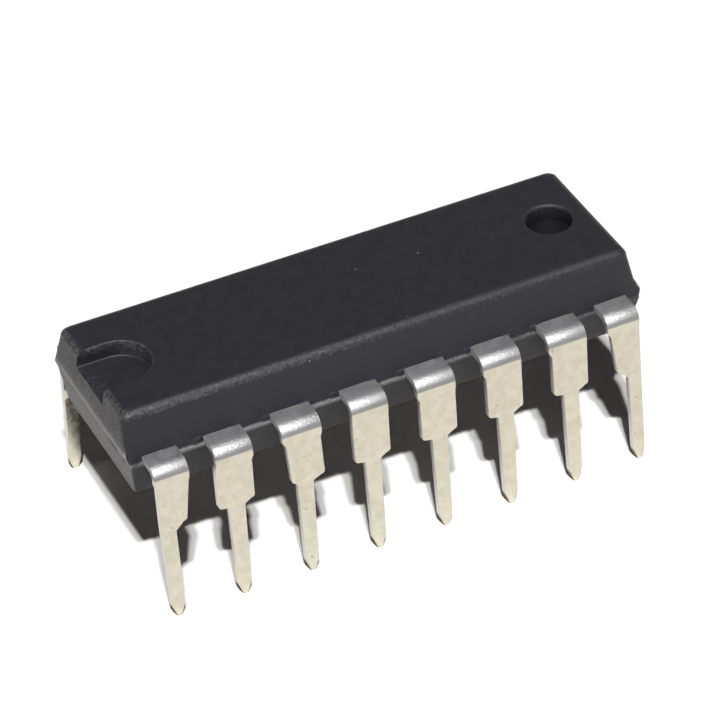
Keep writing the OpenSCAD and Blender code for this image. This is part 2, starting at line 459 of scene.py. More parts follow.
@dataclass(frozen=True)
class Finish:
    """What every finish has: a name, and a way to make its material."""

    name: str

    def start(self) -> tuple[bpy.types.Material, Nodes, bpy.types.Node, Socket]:
        """Makes an empty material.

        Returns:
            The material, the tools for its tree, its shader, and object coordinates in mm.
        """
        material = bpy.data.materials.new(self.name)
        nodes = empty_nodes(material)
        shader = nodes.put("ShaderNodeBsdfPrincipled")
        nodes.feed(shader.outputs[0], nodes.put("ShaderNodeOutputMaterial").inputs[0])
        scale = nodes.put("ShaderNodeMapping")
        scale.inputs["Scale"].default_value = (1 / MM,) * 3
        nodes.feed(nodes.put("ShaderNodeTexCoord").outputs["Object"], scale.inputs["Vector"])
        return material, nodes, shader, scale.outputs[0]

    def bump(self, nodes: Nodes, shader: bpy.types.Node, height: Socket, depth: float) -> None:
        """Feeds a height into the shader's normal.

        Args:
            nodes: The tools for the material's tree.
            shader: The material's shader.
            height: The height's socket.
            depth: What a height of 1 stands for, in millimetres.
        """
        bump = nodes.put("ShaderNodeBump")
        bump.inputs["Strength"].default_value = 1.0
        bump.inputs["Distance"].default_value = depth * MM
        nodes.feed(height, bump.inputs["Height"])
        nodes.feed(bump.outputs[0], shader.inputs["Normal"])


@dataclass(frozen=True)
class MouldedEpoxy(Finish):
    """Black filled epoxy as it leaves the mould: matt, with a fine grain and pale edges, partly real
    abrasion and partly painted glints and painted light.

    The pits and the inside of the round mark are darkened with painted shade, the deep colour, which fades
    out up the walls.
    """

    dark: Colour = (0.0118, 0.0116, 0.0149)
    light: Colour = (0.0132, 0.0130, 0.0165)
    # Painted shade for the pits and the inside of the round mark.
    deep: Colour = (0.0085, 0.0083, 0.0110)
    # Pale edge colour: partly real abrasion of the epoxy, partly painted glints along the edges and painted
    # light on the shaded notch wall.
    pale_wear_and_light: Colour = (0.36, 0.36, 0.37)
    gloss_tint: Colour = (0.92, 0.93, 1.0)
    dust: Colour = (0.33, 0.32, 0.30)
    rough_low: float = 0.48
    rough_high: float = 0.55
    rough_worn: float = 0.16
    rough_deep: float = -0.2
    hollow_shade_fall: float = 4.0
    grain_depth: float = 0.012
    edge_lift: float = 1.6

    def make(self, effects: SharedEffects) -> bpy.types.Material:
        """Builds the material.

        Args:
            effects: The shared node groups.

        Returns:
            The material.
        """
        material, nodes, shader, place = self.start()
        grain = nodes.group(effects.grain, Vector=place, Fine=26.0, Coarse=2.2, Share=0.75)
        edge = nodes.put("ShaderNodeAttribute", attribute_name=WEAR_AND_LIGHT).outputs["Fac"]
        # Pale edge paint: partly real abrasion, partly painted glints and painted light.
        wear_and_painted_light = nodes.group(effects.edge_wear_and_light, Vector=place, Edge=edge, Scale=9.0, Cover=0.75)
        dust = nodes.group(effects.specks, Vector=place, Scale=2.6, Rarity=0.93, Radius=0.07)
        # Painted shade in the pits and the inside of the round mark.
        hollow_shade = nodes.put("ShaderNodeAttribute", attribute_name=HOLLOW_SHADE).outputs["Fac"]
        hollow_shade = nodes.sum("POWER", hollow_shade, self.hollow_shade_fall)
        colour = nodes.layers(
            self.dark, (grain["Mottle"], self.light), (wear_and_painted_light["Mask"], self.pale_wear_and_light),
            (dust["Mask"], self.dust), (hollow_shade, self.deep),
        )
        nodes.feed(colour, shader.inputs["Base Color"])
        roughness = nodes.weigh(
            self.rough_low, (grain["Mottle"], self.rough_high - self.rough_low),
            (edge, self.rough_worn), (hollow_shade, self.rough_deep),
        )
        nodes.feed(roughness, shader.inputs["Roughness"])
        shader.inputs["Specular Tint"].default_value = rgba(self.gloss_tint)
        lift = nodes.sum("MULTIPLY", edge, nodes.noise(place, scale=11.0, detail=4.0, rough=0.6))
        height = nodes.sum("MULTIPLY_ADD", lift, self.edge_lift, grain["Height"])
        self.bump(nodes, shader, height, self.grain_depth)
        return material


@dataclass(frozen=True)
class TinPlating(Finish):
    """Satin plating on stamped strip, blotchy on the faces and scuffed over the bend.

    Heights are above the lead tips, and flat_out is the distance from the middle of the chip at
    which the flat root of a lead turns into its bend. Each pair of turns says how far sideways a
    surface faces where an effect begins and where it is whole.
    """

    bright: Colour = (0.61, 0.59, 0.505)
    dull: Colour = (0.54, 0.52, 0.44)
    stain: Colour = (0.20, 0.15, 0.09)
    bare: Colour = (0.10, 0.062, 0.035)
    scuffed: Colour = (0.45, 0.45, 0.45)
    rubbed: Colour = (0.33, 0.33, 0.335)
    sheared: Colour = (0.60, 0.59, 0.63)
    rough_low: float = 0.20
    rough_high: float = 0.30
    rough_bend: float = 0.20
    rough_side: float = 0.22
    grain_depth: float = 0.006
    scuff_lift: float = 4.0
    bend_low: float = 5.68
    bend_high: float = 5.73
    foot_low: float = 5.80
    foot_high: float = 5.92
    flat_low: float = 6.01
    flat_high: float = 6.06
    flat_out: float = 3.74
    flat_fade: float = 0.25
    tip_height: float = 0.42
    tip_fade: float = 0.12
    side_turns: tuple[float, float] = (0.45, 0.80)
    bare_turns: tuple[float, float] = (0.30, 0.55)
    side_cover: float = 0.7
    stain_cover: float = 0.55
    stain_metal: float = -0.5
    bend_metal: float = -0.15

    def make(self, effects: SharedEffects) -> bpy.types.Material:
        """Builds the material.

        Args:
            effects: The shared node groups.

        Returns:
            The material.
        """
        material, nodes, shader, place = self.start()
        parts = nodes.split(place)
        rise = parts["Z"]
        grain = nodes.group(effects.grain, Vector=place, Fine=22.0, Coarse=2.6, Share=0.5)
        stains = nodes.step(nodes.noise(place, scale=4.2, detail=5.0, rough=0.6), 0.64, 0.74)
        stained = nodes.sum("MULTIPLY", stains, self.stain_cover)
        facing = nodes.split(nodes.put("ShaderNodeTexCoord").outputs["Normal"])
        across = nodes.sum("ABSOLUTE", facing["X"])
        sheared = nodes.step(across, *self.side_turns)
        on_bend = nodes.step(rise, self.bend_low, self.bend_high)
        low = nodes.step(rise, self.tip_height + self.tip_fade, self.tip_height - self.tip_fade)
        bare = nodes.sum("MULTIPLY", nodes.step(across, *self.bare_turns), low)
        colour = nodes.layers(
            self.dull, (grain["Mottle"], self.bright), (stained, self.stain),
            (nodes.sum("MULTIPLY", sheared, self.side_cover), self.sheared),
            (on_bend, self.scuffed), (self.rubbing(nodes, place, parts, on_bend), self.rubbed),
            (bare, self.bare),
        )
        nodes.feed(colour, shader.inputs["Base Color"])
        metal = nodes.weigh(1.0, (stained, self.stain_metal), (on_bend, self.bend_metal))
        nodes.feed(metal, shader.inputs["Metallic"])
        roughness = nodes.weigh(
            self.rough_low, (grain["Mottle"], self.rough_high - self.rough_low),
            (on_bend, self.rough_bend), (sheared, self.rough_side),
        )
        nodes.feed(roughness, shader.inputs["Roughness"])
        lift = nodes.sum("MULTIPLY", nodes.noise(place, scale=13.0, detail=5.0, rough=0.65), on_bend)
        height = nodes.sum("MULTIPLY_ADD", lift, self.scuff_lift, grain["Height"])
        self.bump(nodes, shader, height, self.grain_depth)
        return material

    def rubbing(
        self, nodes: Nodes, place: Socket, parts: bpy.types.NodeOutputs, on_bend: Socket
    ) -> Socket:
        """Masks where the plating is rubbed grey: at the foot of the bend and on the flat root.

        Args:
            nodes: The tools for the material's tree.
            place: Object coordinates in millimetres.
            parts: The same, one by one.
            on_bend: The mask of the bend and the root.

        Returns:
            The mask.
        """
        rise = parts["Z"]
        outwards = nodes.sum("ABSOLUTE", parts["Y"])
        flat = nodes.sum(
            "MULTIPLY", nodes.step(rise, self.flat_low, self.flat_high),
            nodes.step(outwards, self.flat_out, self.flat_out - self.flat_fade),
        )
        streaks = nodes.noise(place, scale=7.0, detail=6.0, rough=0.7)
        flat = nodes.sum("MULTIPLY", flat, nodes.step(streaks, 0.75, 0.25))
        foot = nodes.step(rise, self.foot_high, self.foot_low)
        return nodes.sum("MULTIPLY", nodes.sum("MAXIMUM", foot, flat), on_bend)


@dataclass(frozen=True)
class PlainMetal(Finish):
    """A bare metal of the inside of the chip, with a light mottle."""

    dark: Colour
    light: Colour
    roughness: float = 0.35
    rough_spread: float = 0.1
    grain_depth: float = 0.002

    def make(self, effects: SharedEffects) -> bpy.types.Material:
        """Builds the material.

        Args:
            effects: The shared node groups.

        Returns:
            The material.
        """
        material, nodes, shader, place = self.start()
        grain = nodes.group(effects.grain, Vector=place, Fine=30.0, Coarse=4.0, Share=0.6)
        colour = nodes.blend(grain["Mottle"], self.dark, self.light)
        nodes.feed(colour, shader.inputs["Base Color"])
        shader.inputs["Metallic"].default_value = 1.0
        roughness = nodes.weigh(self.roughness, (grain["Mottle"], self.rough_spread))
        nodes.feed(roughness, shader.inputs["Roughness"])
        self.bump(nodes, shader, grain["Height"], self.grain_depth)
        return material


@dataclass(frozen=True)
class PaleFloor(Finish):
    """The studio floor: cream, and drawn brighter for the eye and in reflections than for light."""

    colour: Colour = (0.50, 0.49, 0.47)
    seen: Colour = (1.09, 1.07, 1.035)
    in_gloss: Colour = (1.21, 1.17, 1.11)
    mottle_scale: float = 60.0
    mottle_share: float = 0.02

    def make(self) -> bpy.types.Material:
        """Builds the material.

        Returns:
            The material.
        """
        material = bpy.data.materials.new(self.name)
        nodes = empty_nodes(material)
        place = nodes.put("ShaderNodeTexCoord").outputs["Object"]
        mottle = nodes.noise(place, self.mottle_scale)
        shade = nodes.sum("MULTIPLY_ADD", mottle, self.mottle_share, 1.0 - self.mottle_share / 2)
        rays = nodes.put("ShaderNodeLightPath").outputs
        mirrored = nodes.sum("ADD", rays["Is Glossy Ray"], rays["Is Transmission Ray"], clamp=True)
        surface = self.paint(nodes, shade, self.colour)
        for colour, share in ((self.in_gloss, mirrored), (self.seen, rays["Is Camera Ray"])):
            mix = nodes.put("ShaderNodeMixShader")
            nodes.feed(share, mix.inputs[0])
            nodes.feed(surface, mix.inputs[1])
            nodes.feed(self.paint(nodes, shade, colour), mix.inputs[2])
            surface = mix.outputs[0]
        nodes.feed(surface, nodes.put("ShaderNodeOutputMaterial").inputs[0])
        return material

    def paint(self, nodes: Nodes, shade: Socket, colour: Colour) -> Socket:
        """Makes a matt shader of one colour under the floor's mottle.

        Args:
            nodes: The tools for the material's tree.
            shade: The mottle's socket.
            colour: The colour.

        Returns:
            The shader's socket.
        """
        shader = nodes.put("ShaderNodeBsdfDiffuse")
        nodes.feed(nodes.blend(1.0, colour, shade, "MULTIPLY"), shader.inputs["Color"])
        return shader.outputs[0]


# The moulded body


@dataclass(frozen=True)
class Pit:
    """A pit in an end wall: its middle and half its width across, and how high it reaches."""

    middle: float
    half: float
    low: float
    high: float

    def holds(self, across: float, rise: float) -> bool:
        """Says whether a point lies in the pit, which is an ellipse."""
        upright = (2 * rise - self.low - self.high) / (self.high - self.low)
        return ((across - self.middle) / self.half) ** 2 + upright**2 < 1.0


@dataclass
class MouldedBody:
    """The black body, drawn up ring by ring from its underside, then cut and roughened.

    Rises are heights above the parting line. The lower shares and the upper rises say where the
    walls have rings, which stand closest where the flash is. Each node of the end walls' table is a rise
    and how much pale paint the end walls take there, partly real abrasion and partly painted glints and
    painted light. The pale paint on the top edge and the long walls is least at the end with the mark.
    """

    length: float = 19.5
    width: float = 6.48
    height: float = 3.25
    lower_height: float = 1.37
    standoff: float = 4.45
    upper_draft: float = 0.41
    lower_draft: float = 0.27
    upper_end_draft: float = 0.26
    lower_end_draft: float = 0.33
    parting_step: float = 0.05
    flash_out: float = 0.15
    lip_rise: float = 0.08
    lip_step: float = 0.13
    flash_slope: float = 0.4
    frame_thickness: float = 0.25
    corner_radius: float = 0.12
    top_corner_radius: float = 0.3
    corner_steps: int = 6
    edge_radius: float = 0.3
    low_edge_radius: float = 0.1
    notch_width: float = 2.3
    notch_length: float = 2.43
    notch_depth: float = 0.63
    dimple_width: float = 1.64
    dimple_depth: float = 0.6
    notch_rim: float = 0.07
    dimple_rim: float = 0.14
    dimple_place: tuple[float, float] = (7.95, 0.12)
    pit_floors: tuple[float, float] = (9.53, 9.705)
    pits: tuple[Pit, ...] = (Pit(1.74, 0.42, -0.14, 0.12), Pit(2.64, 0.17, -0.1, 0.17))
    # Pale paint on the end walls, by height above the parting line: partly real abrasion, partly painted
    # glints and painted light.
    end_wear_and_light: tuple[tuple[float, float], ...] = (
        (-1.37, 0.42), (-1.2, 0.55), (-0.2, 0.6), (0.08, 0.66), (0.2, 0.94), (0.42, 0.9), (0.55, 0.42),
        (0.85, 0.27), (1.3, 0.2), (1.5, 0.13), (1.75, 0.0),
    )
    # Pale paint on the top edge, the low edge and the parting line of the long walls: partly real abrasion,
    # partly painted glints. It fades towards the end with the mark.
    top_wear_and_glint: float = 0.31
    top_wear_and_glint_fall: float = 0.13
    low_wear_and_glint: float = 0.35
    side_wear_and_glint: float = 0.64
    side_wear_and_glint_fall: float = 0.28
    # Painted light that brightens the shaded wall at the inner end of the notch.
    notch_light_share: float = 0.27
    parting_ragged: float = 0.03
    lip_ragged: float = 0.02
    burr_inner: float = 0.5
    burr_outer: float = 0.98
    burr_fade: float = 0.12
    burr_least: float = 0.01
    burr_ragged: float = 0.08
    lower_shares: tuple[float, ...] = (0.12, 0.24, 0.36, 0.48, 0.6, 0.7, 0.79, 0.87, 0.93, 0.97, 1.0)
    upper_rises: tuple[float, ...] = (
        0.012, 0.05, 0.1, 0.15, 0.19, 0.22, 0.245, 0.27, 0.3, 0.34, 0.4, 0.48, 0.56, 0.65,
        0.77, 0.9, 1.03, 1.16, 1.29, 1.42, 1.51,
    )
    top_margin: float = 0.12
    end_zone: float = 0.9
    spacing: float = 0.07
    pitch: float = 2.54
    leads_per_row: int = 8

    @property
    def top(self) -> float:
        """Height of the top face above the lead tips."""
        return self.standoff + self.height

    @property
    def parting(self) -> float:
        """Height of the parting line above the lead tips."""
        return self.standoff + self.lower_height

    @property
    def upper_height(self) -> float:
        """Height of the upper half, from the parting line to the top."""
        return self.height - self.lower_height

    @property
    def lip(self) -> float:
        """Distance of the lip of the notch end from the middle of the chip."""
        return self.half_length_at(self.frame_thickness + self.lip_rise)

    def rounded_in(self, draft: float, angle: float) -> float:
        """Works out how far an upper wall stands in at an angle of the rounding at its top."""
        lean = draft * (1 - self.edge_radius / self.upper_height)
        return lean + (draft - lean + self.edge_radius) * (1 - math.cos(angle))

    def ring(self, end_inset: float, side_inset: float, height: float) -> Ring:
        """Gives half the length, half the width and the height of a ring that is set in."""
        return self.length / 2 - end_inset, self.width / 2 - side_inset, height

    def rings(self) -> list[Ring]:
        """Lists the rings that the walls pass through, from the underside up.

        Returns:
            The rings.
        """
        rings = []
        for degrees in (0, 30, 60, 90):
            angle = math.radians(degrees)
            inset = self.low_edge_radius * (1 - math.sin(angle))
            height = self.standoff + self.low_edge_radius * (1 - math.cos(angle))
            rings.append(self.ring(self.lower_end_draft + inset, self.lower_draft + inset, height))
        low = self.standoff + self.low_edge_radius
        for share in self.lower_shares:
            end_inset, side_inset = self.lower_end_draft * (1 - share), self.lower_draft * (1 - share)
            rings.append(self.ring(end_inset, side_inset, low + (self.parting - low) * share))
        for rise in (*self.upper_rises, self.upper_height - self.edge_radius):
            share = rise / self.upper_height
            side_inset = self.parting_step + self.upper_draft * share
            rings.append(self.ring(self.upper_end_draft * share, side_inset, self.parting + rise))
        for degrees in (12, 24, 36, 48, 60, 72, 81, 90):
            angle = math.radians(degrees)
            end_inset = self.rounded_in(self.upper_end_draft, angle)
            side_inset = self.parting_step + self.rounded_in(self.upper_draft, angle)
            height = self.top - self.edge_radius * (1 - math.sin(angle))
            rings.append(self.ring(end_inset, side_inset, height))
        flat_l, flat_w, _ = rings[-1]
        rings.append((flat_l - self.top_margin, flat_w - self.top_margin, self.top))
        return rings

    def radius_at(self, height: float) -> float:
        """Gives the radius of the upright corners at a height above the lead tips."""
        share = (height - self.parting) / (self.upper_height - self.edge_radius)
        return between(share, ((0.0, self.corner_radius), (1.0, self.top_corner_radius)))

    def outline(self, ring: Ring) -> Outline:
        """Walks round a rectangle with rounded corners, always in the same number of steps.

        Args:
            ring: Half its length, half its width and its height.

        Returns:
            Points against the clock.
        """
        half_l, half_w, height = ring
        radius = self.radius_at(height)
        turns = []
        for sign_x, sign_y, start in ((1, 1, 0), (-1, 1, 90), (-1, -1, 180), (1, -1, 270)):
            for step in range(self.corner_steps + 1):
                angle = math.radians(start + 90 * step / self.corner_steps)
                turns.append((sign_x * (half_l - radius) + radius * math.cos(angle),
                              sign_y * (half_w - radius) + radius * math.sin(angle)))
        straight = (round(self.length / self.spacing), round(self.width / self.spacing))
        points = []
        for index, ((x, y), (next_x, next_y)) in enumerate(zip(turns, turns[1:] + turns[:1])):
            corner, place = divmod(index, self.corner_steps + 1)
            count = straight[corner % 2] if place == self.corner_steps else 1
            for step in range(count):
                share = step / count
                points.append((x + (next_x - x) * share, y + (next_y - y) * share))
        return points

    def draw_walls(self) -> bpy.types.Object:
        """Extrudes the walls from the outline of the underside.

        Returns:
            The closed body, with nothing cut into it.
        """
        rings = self.rings()
        clear_selection()
        outline = self.outline(rings[0])
        bpy.ops.mesh.primitive_circle_add(vertices=len(outline), radius=self.width * MM, fill_type="NGON")
        piece = bpy.context.object
        for vertex, (x, y) in zip(piece.data.vertices, outline):
            vertex.co = Vector((x, y, rings[0][2])) * MM
        bpy.ops.object.mode_set(mode="EDIT")
        bpy.ops.mesh.select_all(action="SELECT")
        for (_, _, z), ring in zip(rings, rings[1:]):
            bpy.ops.mesh.extrude_region_move(
                TRANSFORM_OT_translate={"value": (0.0, 0.0, (ring[2] - z) * MM)}
            )
            finder = kdtree.KDTree(len(outline))
            for index, (x, y) in enumerate(outline):
                finder.insert((x * MM, y * MM, 0.0), index)
            finder.balance()
            outline = self.outline(ring)
            mesh = bmesh.from_edit_mesh(piece.data)
            for vertex in [v for v in mesh.verts if v.select]:
                _, index, _ = finder.find((vertex.co.x, vertex.co.y, 0.0))
                vertex.co.x, vertex.co.y = (value * MM for value in outline[index])
            bmesh.update_edit_mesh(piece.data)
        bpy.ops.mesh.select_all(action="SELECT")
        bpy.ops.mesh.normals_make_consistent(inside=False)
        bpy.ops.object.mode_set(mode="OBJECT")
        return piece

    def notch_cutter(self) -> bpy.types.Object:
        """Makes the cutter for the notch: a round end stretched out past the body's end.

        Returns:
            The cutter.
        """
        start = -self.length / 2
        centre = start + self.notch_length - self.notch_width / 2
        past_end = 1.0
        clear_selection()
        bpy.ops.mesh.primitive_cylinder_add(
            vertices=72, radius=self.notch_width / 2 * MM, depth=2 * self.notch_depth * MM,
            location=(centre * MM, 0.0, self.top * MM),
        )
        cutter = bpy.context.object
        bpy.ops.object.transform_apply(location=True, rotation=True, scale=True)
        bpy.ops.object.mode_set(mode="EDIT")
        bpy.ops.mesh.select_mode(type="VERT")
        mesh = bmesh.from_edit_mesh(cutter.data)
        for vertex in mesh.verts:
            vertex.select_set(vertex.co.x < (centre - 0.01) * MM)
        bmesh.update_edit_mesh(cutter.data)
        bpy.ops.transform.translate(value=(-(centre - start + past_end) * MM, 0.0, 0.0))
        floor = (self.top - self.notch_depth) * MM
        select_edges(cutter, lambda edge: all(abs(v.co.z - floor) < 1e-7 for v in edge.verts))
        bpy.ops.mesh.bevel(offset=self.notch_rim * MM, segments=3, affect="EDGES")
        bpy.ops.object.mode_set(mode="OBJECT")
        return cutter

    def dimple_cutter(self) -> bpy.types.Object:
        """Makes the cutter for the round mark.

        Returns:
            The cutter.
        """
        clear_selection()
        x, y = self.dimple_place
        bpy.ops.mesh.primitive_cylinder_add(
            vertices=72, radius=self.dimple_width / 2 * MM, depth=2 * self.dimple_depth * MM,
            location=(x * MM, y * MM, self.top * MM),
        )
        cutter = bpy.context.object
        bpy.ops.object.transform_apply(location=True, rotation=True, scale=True)
        return cutter

    def cut(self, piece: bpy.types.Object, cutter: bpy.types.Object) -> None:
        """Takes a cutter out of the body and deletes the cutter.

        Args:
            piece: The body.
            cutter: What is taken out of it.
        """
        apply_modifier(piece, "BOOLEAN", operation="DIFFERENCE", solver="EXACT", object=cutter)
        mesh = cutter.data
        bpy.data.objects.remove(cutter)
        bpy.data.meshes.remove(mesh)

    def soften_rims(self, piece: bpy.types.Object) -> None:
        """Rounds the rims where the notch and the round mark meet the top face.

        Args:
            piece: The body.
        """
        top = self.top * MM

        def on_rim(edge: bmesh.types.BMEdge) -> bool:
            """Says whether an edge lies in the top face, on the rim of a cut."""
            if any(abs(v.co.z - top) > 1e-7 for v in edge.verts) or len(edge.link_faces) != 2:
                return False
            return min(face.normal.z for face in edge.link_faces) < 0.5 and all(
                abs(face.normal.z) > 0.9 or abs(face.normal.z) < 0.3 for face in edge.link_faces
            )

        for sign, width, segments in ((-1, self.notch_rim, 3), (1, self.dimple_rim, 5)):
            make_active(piece)
            bpy.ops.object.mode_set(mode="EDIT")
            count = select_edges(piece, lambda edge: on_rim(edge) and edge.verts[0].co.x * sign > 0)
            bpy.ops.mesh.bevel(offset=width * MM, segments=segments, affect="EDGES")
            bpy.ops.object.mode_set(mode="OBJECT")
            LOG.info("softened %d rim edges", count)

    def in_pit(self, place: Vector) -> bool:
        """Says whether a point of an end wall lies in one of the pits beside the tie bars.

        Args:
            place: The point, in millimetres.

        Returns:
            Whether the plastic is broken away there.
        """
        if abs(place.x) < self.length / 2 - 0.3:
            return False
        rise = place.z - self.parting
        across = place.y * math.copysign(1.0, place.x)
        return any(pit.holds(across, rise) for pit in self.pits)

    def ridge(self, place: Vector) -> float:
        """Works out how far the ridge of flash stands out at a point of an end wall.

        Args:
            place: The point, in millimetres.

        Returns:
            The distance outwards, in millimetres.
        """
        if place.x < 0:
            return 0.0
        crest = self.frame_thickness
        profile = ((0.0, 0.0), (crest, 1.0), (crest + self.flash_slope, 0.0))
        ragged = 0.5 + 0.5 * noise.noise(Vector((place.x * 0.7, place.y * 2.3, 4.7)))
        fine = 0.5 + 0.5 * noise.noise(place * 6.0)
        out = self.flash_out * (0.88 + 0.08 * ragged + 0.04 * fine)
        return between(place.z - self.parting, profile) * out

    def under_lip(self, rise: float) -> float:
        """Works out how far the notch end steps in under its lip.

        Args:
            rise: A height above the parting line.

        Returns:
            The distance inwards, in millimetres.
        """
        crest = self.frame_thickness + self.lip_rise
        if rise >= crest:
            return 0.0
        low = self.length / 2 - self.lower_end_draft
        line = ((-self.lower_height, low), (0.0, self.lip - self.lip_step), (crest, self.lip))
        return self.half_length_at(rise) - between(rise, line)

    def half_length_at(self, rise: float) -> float:
        """Gives half the body's length at a height, without the ridge.

        Args:
            rise: The height above the parting line.

        Returns:
            The distance from the middle, in millimetres.
        """
        if rise > 0:
            return self.length / 2 - self.upper_end_draft * rise / self.upper_height
        return self.length / 2 + self.lower_end_draft * rise / self.lower_height

    def burr(self, place: Vector) -> float:
        """Works out how far a burr stands out of a long wall beside the root of a lead.

        Args:
            place: The point, in millimetres.

        Returns:
            The distance outwards, in millimetres.
        """
        rise = place.z - self.parting
        last = self.leads_per_row - 1
        index = max(0, min(last, round(place.x / self.pitch + last / 2)))
        off = abs(place.x - (index - last / 2) * self.pitch)
        beside = ramp(off, self.burr_outer, self.burr_outer - self.burr_fade)
        beside *= ramp(off, self.burr_inner, self.burr_inner + self.burr_fade)
        band = ramp(rise, -0.01, 0.02) * ramp(rise, self.frame_thickness + 0.06, self.frame_thickness - 0.06)
        ragged = 0.5 + 0.5 * noise.noise(place * 5.0)
        return beside * band * (self.burr_least + self.burr_ragged * ragged)

    def roughen(self, piece: bpy.types.Object) -> None:
        """Draws the flash out of the walls, and marks the pale edges, partly abrasion and partly painted
        glints and painted light, and the painted shade in the pits and the round mark.

        Args:
            piece: The body.
        """
        mesh = piece.data
        normals = [vertex.normal.copy() for vertex in mesh.vertices]
        wear_and_painted_light, hollow_shade = [], []
        for vertex, normal in zip(mesh.vertices, normals):
            place = vertex.co / MM
            in_pit = self.in_pit(place)
            # Pale edge paint: partly real abrasion, partly painted glints and painted light.
            wear_and_painted_light.append(0.0 if in_pit else self.wear_and_light_at(place, normal))
            # Painted shade in the pits and the inside of the round mark.
            hollow_shade.append(1.0 if in_pit else self.hollow_shade_at(place))
            flat = Vector((normal.x, normal.y, 0.0))
            if flat.length < 0.3:
                continue
            if in_pit:
                place.x = -self.pit_floors[0] if place.x < 0 else self.pit_floors[1]
            else:
                place = self.rough_place(place, flat)
            vertex.co = place * MM
        for name, values in ((WEAR_AND_LIGHT, wear_and_painted_light), (HOLLOW_SHADE, hollow_shade)):
            mesh.attributes.new(name, "FLOAT", "POINT").data.foreach_set("value", values)

    def rough_place(self, place: Vector, flat: Vector) -> Vector:
        """Moves a point of a wall by the wall's waviness, the lip, the ridge and the burrs.

        Args:
            place: The point, in millimetres.
            flat: Which way the wall faces there, seen from above.

        Returns:
            The new point, inside the chip's box.
        """
        rise = place.z - self.parting
        end = self.half_length_at(rise)
        out = noise.noise(place * 4.0) * 0.004 + noise.noise(place * 1.3) * 0.005
        out += ramp(abs(rise), 0.06, 0.0) * self.parting_ragged * noise.noise(place * 8.0)
        if place.x < self.end_zone - end:
            from_crest = abs(rise - self.frame_thickness - self.lip_rise)
            out += ramp(from_crest, 0.12, 0.0) * self.lip_ragged * noise.noise(place * 5.0)
            at_end = ramp(-place.x, end - self.end_zone, end - self.corner_radius)
            place.x += self.under_lip(rise) * at_end
        place += flat * out
        if -0.05 < rise < 0.8:
            corner = end - self.corner_radius
            at_end = ramp(abs(place.x), corner - 0.02, corner + 0.5 * self.corner_radius)
            place.x += at_end * self.ridge(place)
            if abs(place.x) < self.length / 2 - 0.4:
                place += flat * self.burr(place)
        place.x = max(-self.lip, min(self.length / 2 + self.flash_out, place.x))
        return place

    def hollow_shade_at(self, place: Vector) -> float:
        """Works out how much painted shade a point takes, from how deep in the round mark it lies.

        Args:
            place: The point, in millimetres.

        Returns:
            A share from 0 to 1.
        """
        if math.dist((place.x, place.y), self.dimple_place) > self.dimple_width / 2 + 0.05:
            return 0.0
        return ramp(place.z, self.top - self.dimple_rim, self.top - self.dimple_depth)

    def notch_painted_light(self, place: Vector) -> float:
        """Works out how much painted light brightens the shaded wall at the inner end of the notch.

        Args:
            place: A point, in millimetres.

        Returns:
            A share from 0 to 1.
        """
        inner_end = self.notch_length - self.length / 2
        if place.x > inner_end + 0.1 or abs(place.y) >= self.notch_width / 2:
            return 0.0
        floor = self.top - self.notch_depth
        deep = ramp(place.z, self.top - 0.03, self.top - self.notch_rim) * ramp(place.z, floor, floor + 0.05)
        return self.notch_light_share * deep * ramp(place.x, inner_end - 1.0, inner_end - 0.3)

    def wear_and_light_at(self, place: Vector, normal: Vector) -> float:
        """Works out how much pale paint an edge takes at a point: partly real abrasion, partly painted
        glints along the edges and painted light on the shaded notch wall.

        Args:
            place: The point, in millimetres.
            normal: Which way the surface faces there.

        Returns:
            A share from 0 to 1.
        """
        rise = place.z - self.parting
        top_edge = ramp(place.z, self.top - self.edge_radius - 0.04, self.top - 0.8 * self.edge_radius)
        top_edge *= self.top_wear_and_glint - self.top_wear_and_glint_fall * ramp(place.x, -9.0, 9.0)
        top_edge *= ramp(normal.z, 0.99, 0.93)
        low_edge = ramp(place.z, self.standoff + self.low_edge_radius + 0.06, self.standoff + 0.04)
        low_edge *= self.low_wear_and_glint * ramp(abs(normal.z), 0.98, 0.8)
        if abs(place.x) > self.half_length_at(rise) - 0.06:
            wall = between(rise, self.end_wear_and_light)
        else:
            wall = self.side_wear_and_glint - self.side_wear_and_glint_fall * ramp(place.x, -3.0, 9.0)
            wall *= ramp(abs(rise + 0.02), 0.15, 0.06) * (0.6 + 0.4 * ramp(place.x, -9.5, -8.9))
        return max(top_edge, low_edge, wall, self.notch_painted_light(place))

    def build(self, material: bpy.types.Material) -> bpy.types.Object:
        """Builds and dresses the body.

        Args:
            material: The moulding's material.

        Returns:
            The finished piece.
        """
        piece = self.draw_walls()
        self.cut(piece, self.notch_cutter())
        self.cut(piece, self.dimple_cutter())
        self.soften_rims(piece)
        self.roughen(piece)
        piece.name = piece.data.name = "moulded_body"
        piece.data.materials.clear()
        piece.data.materials.append(material)
        smooth(piece, 32)
        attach(piece, "root")
        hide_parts("body")
        return piece


# The leads


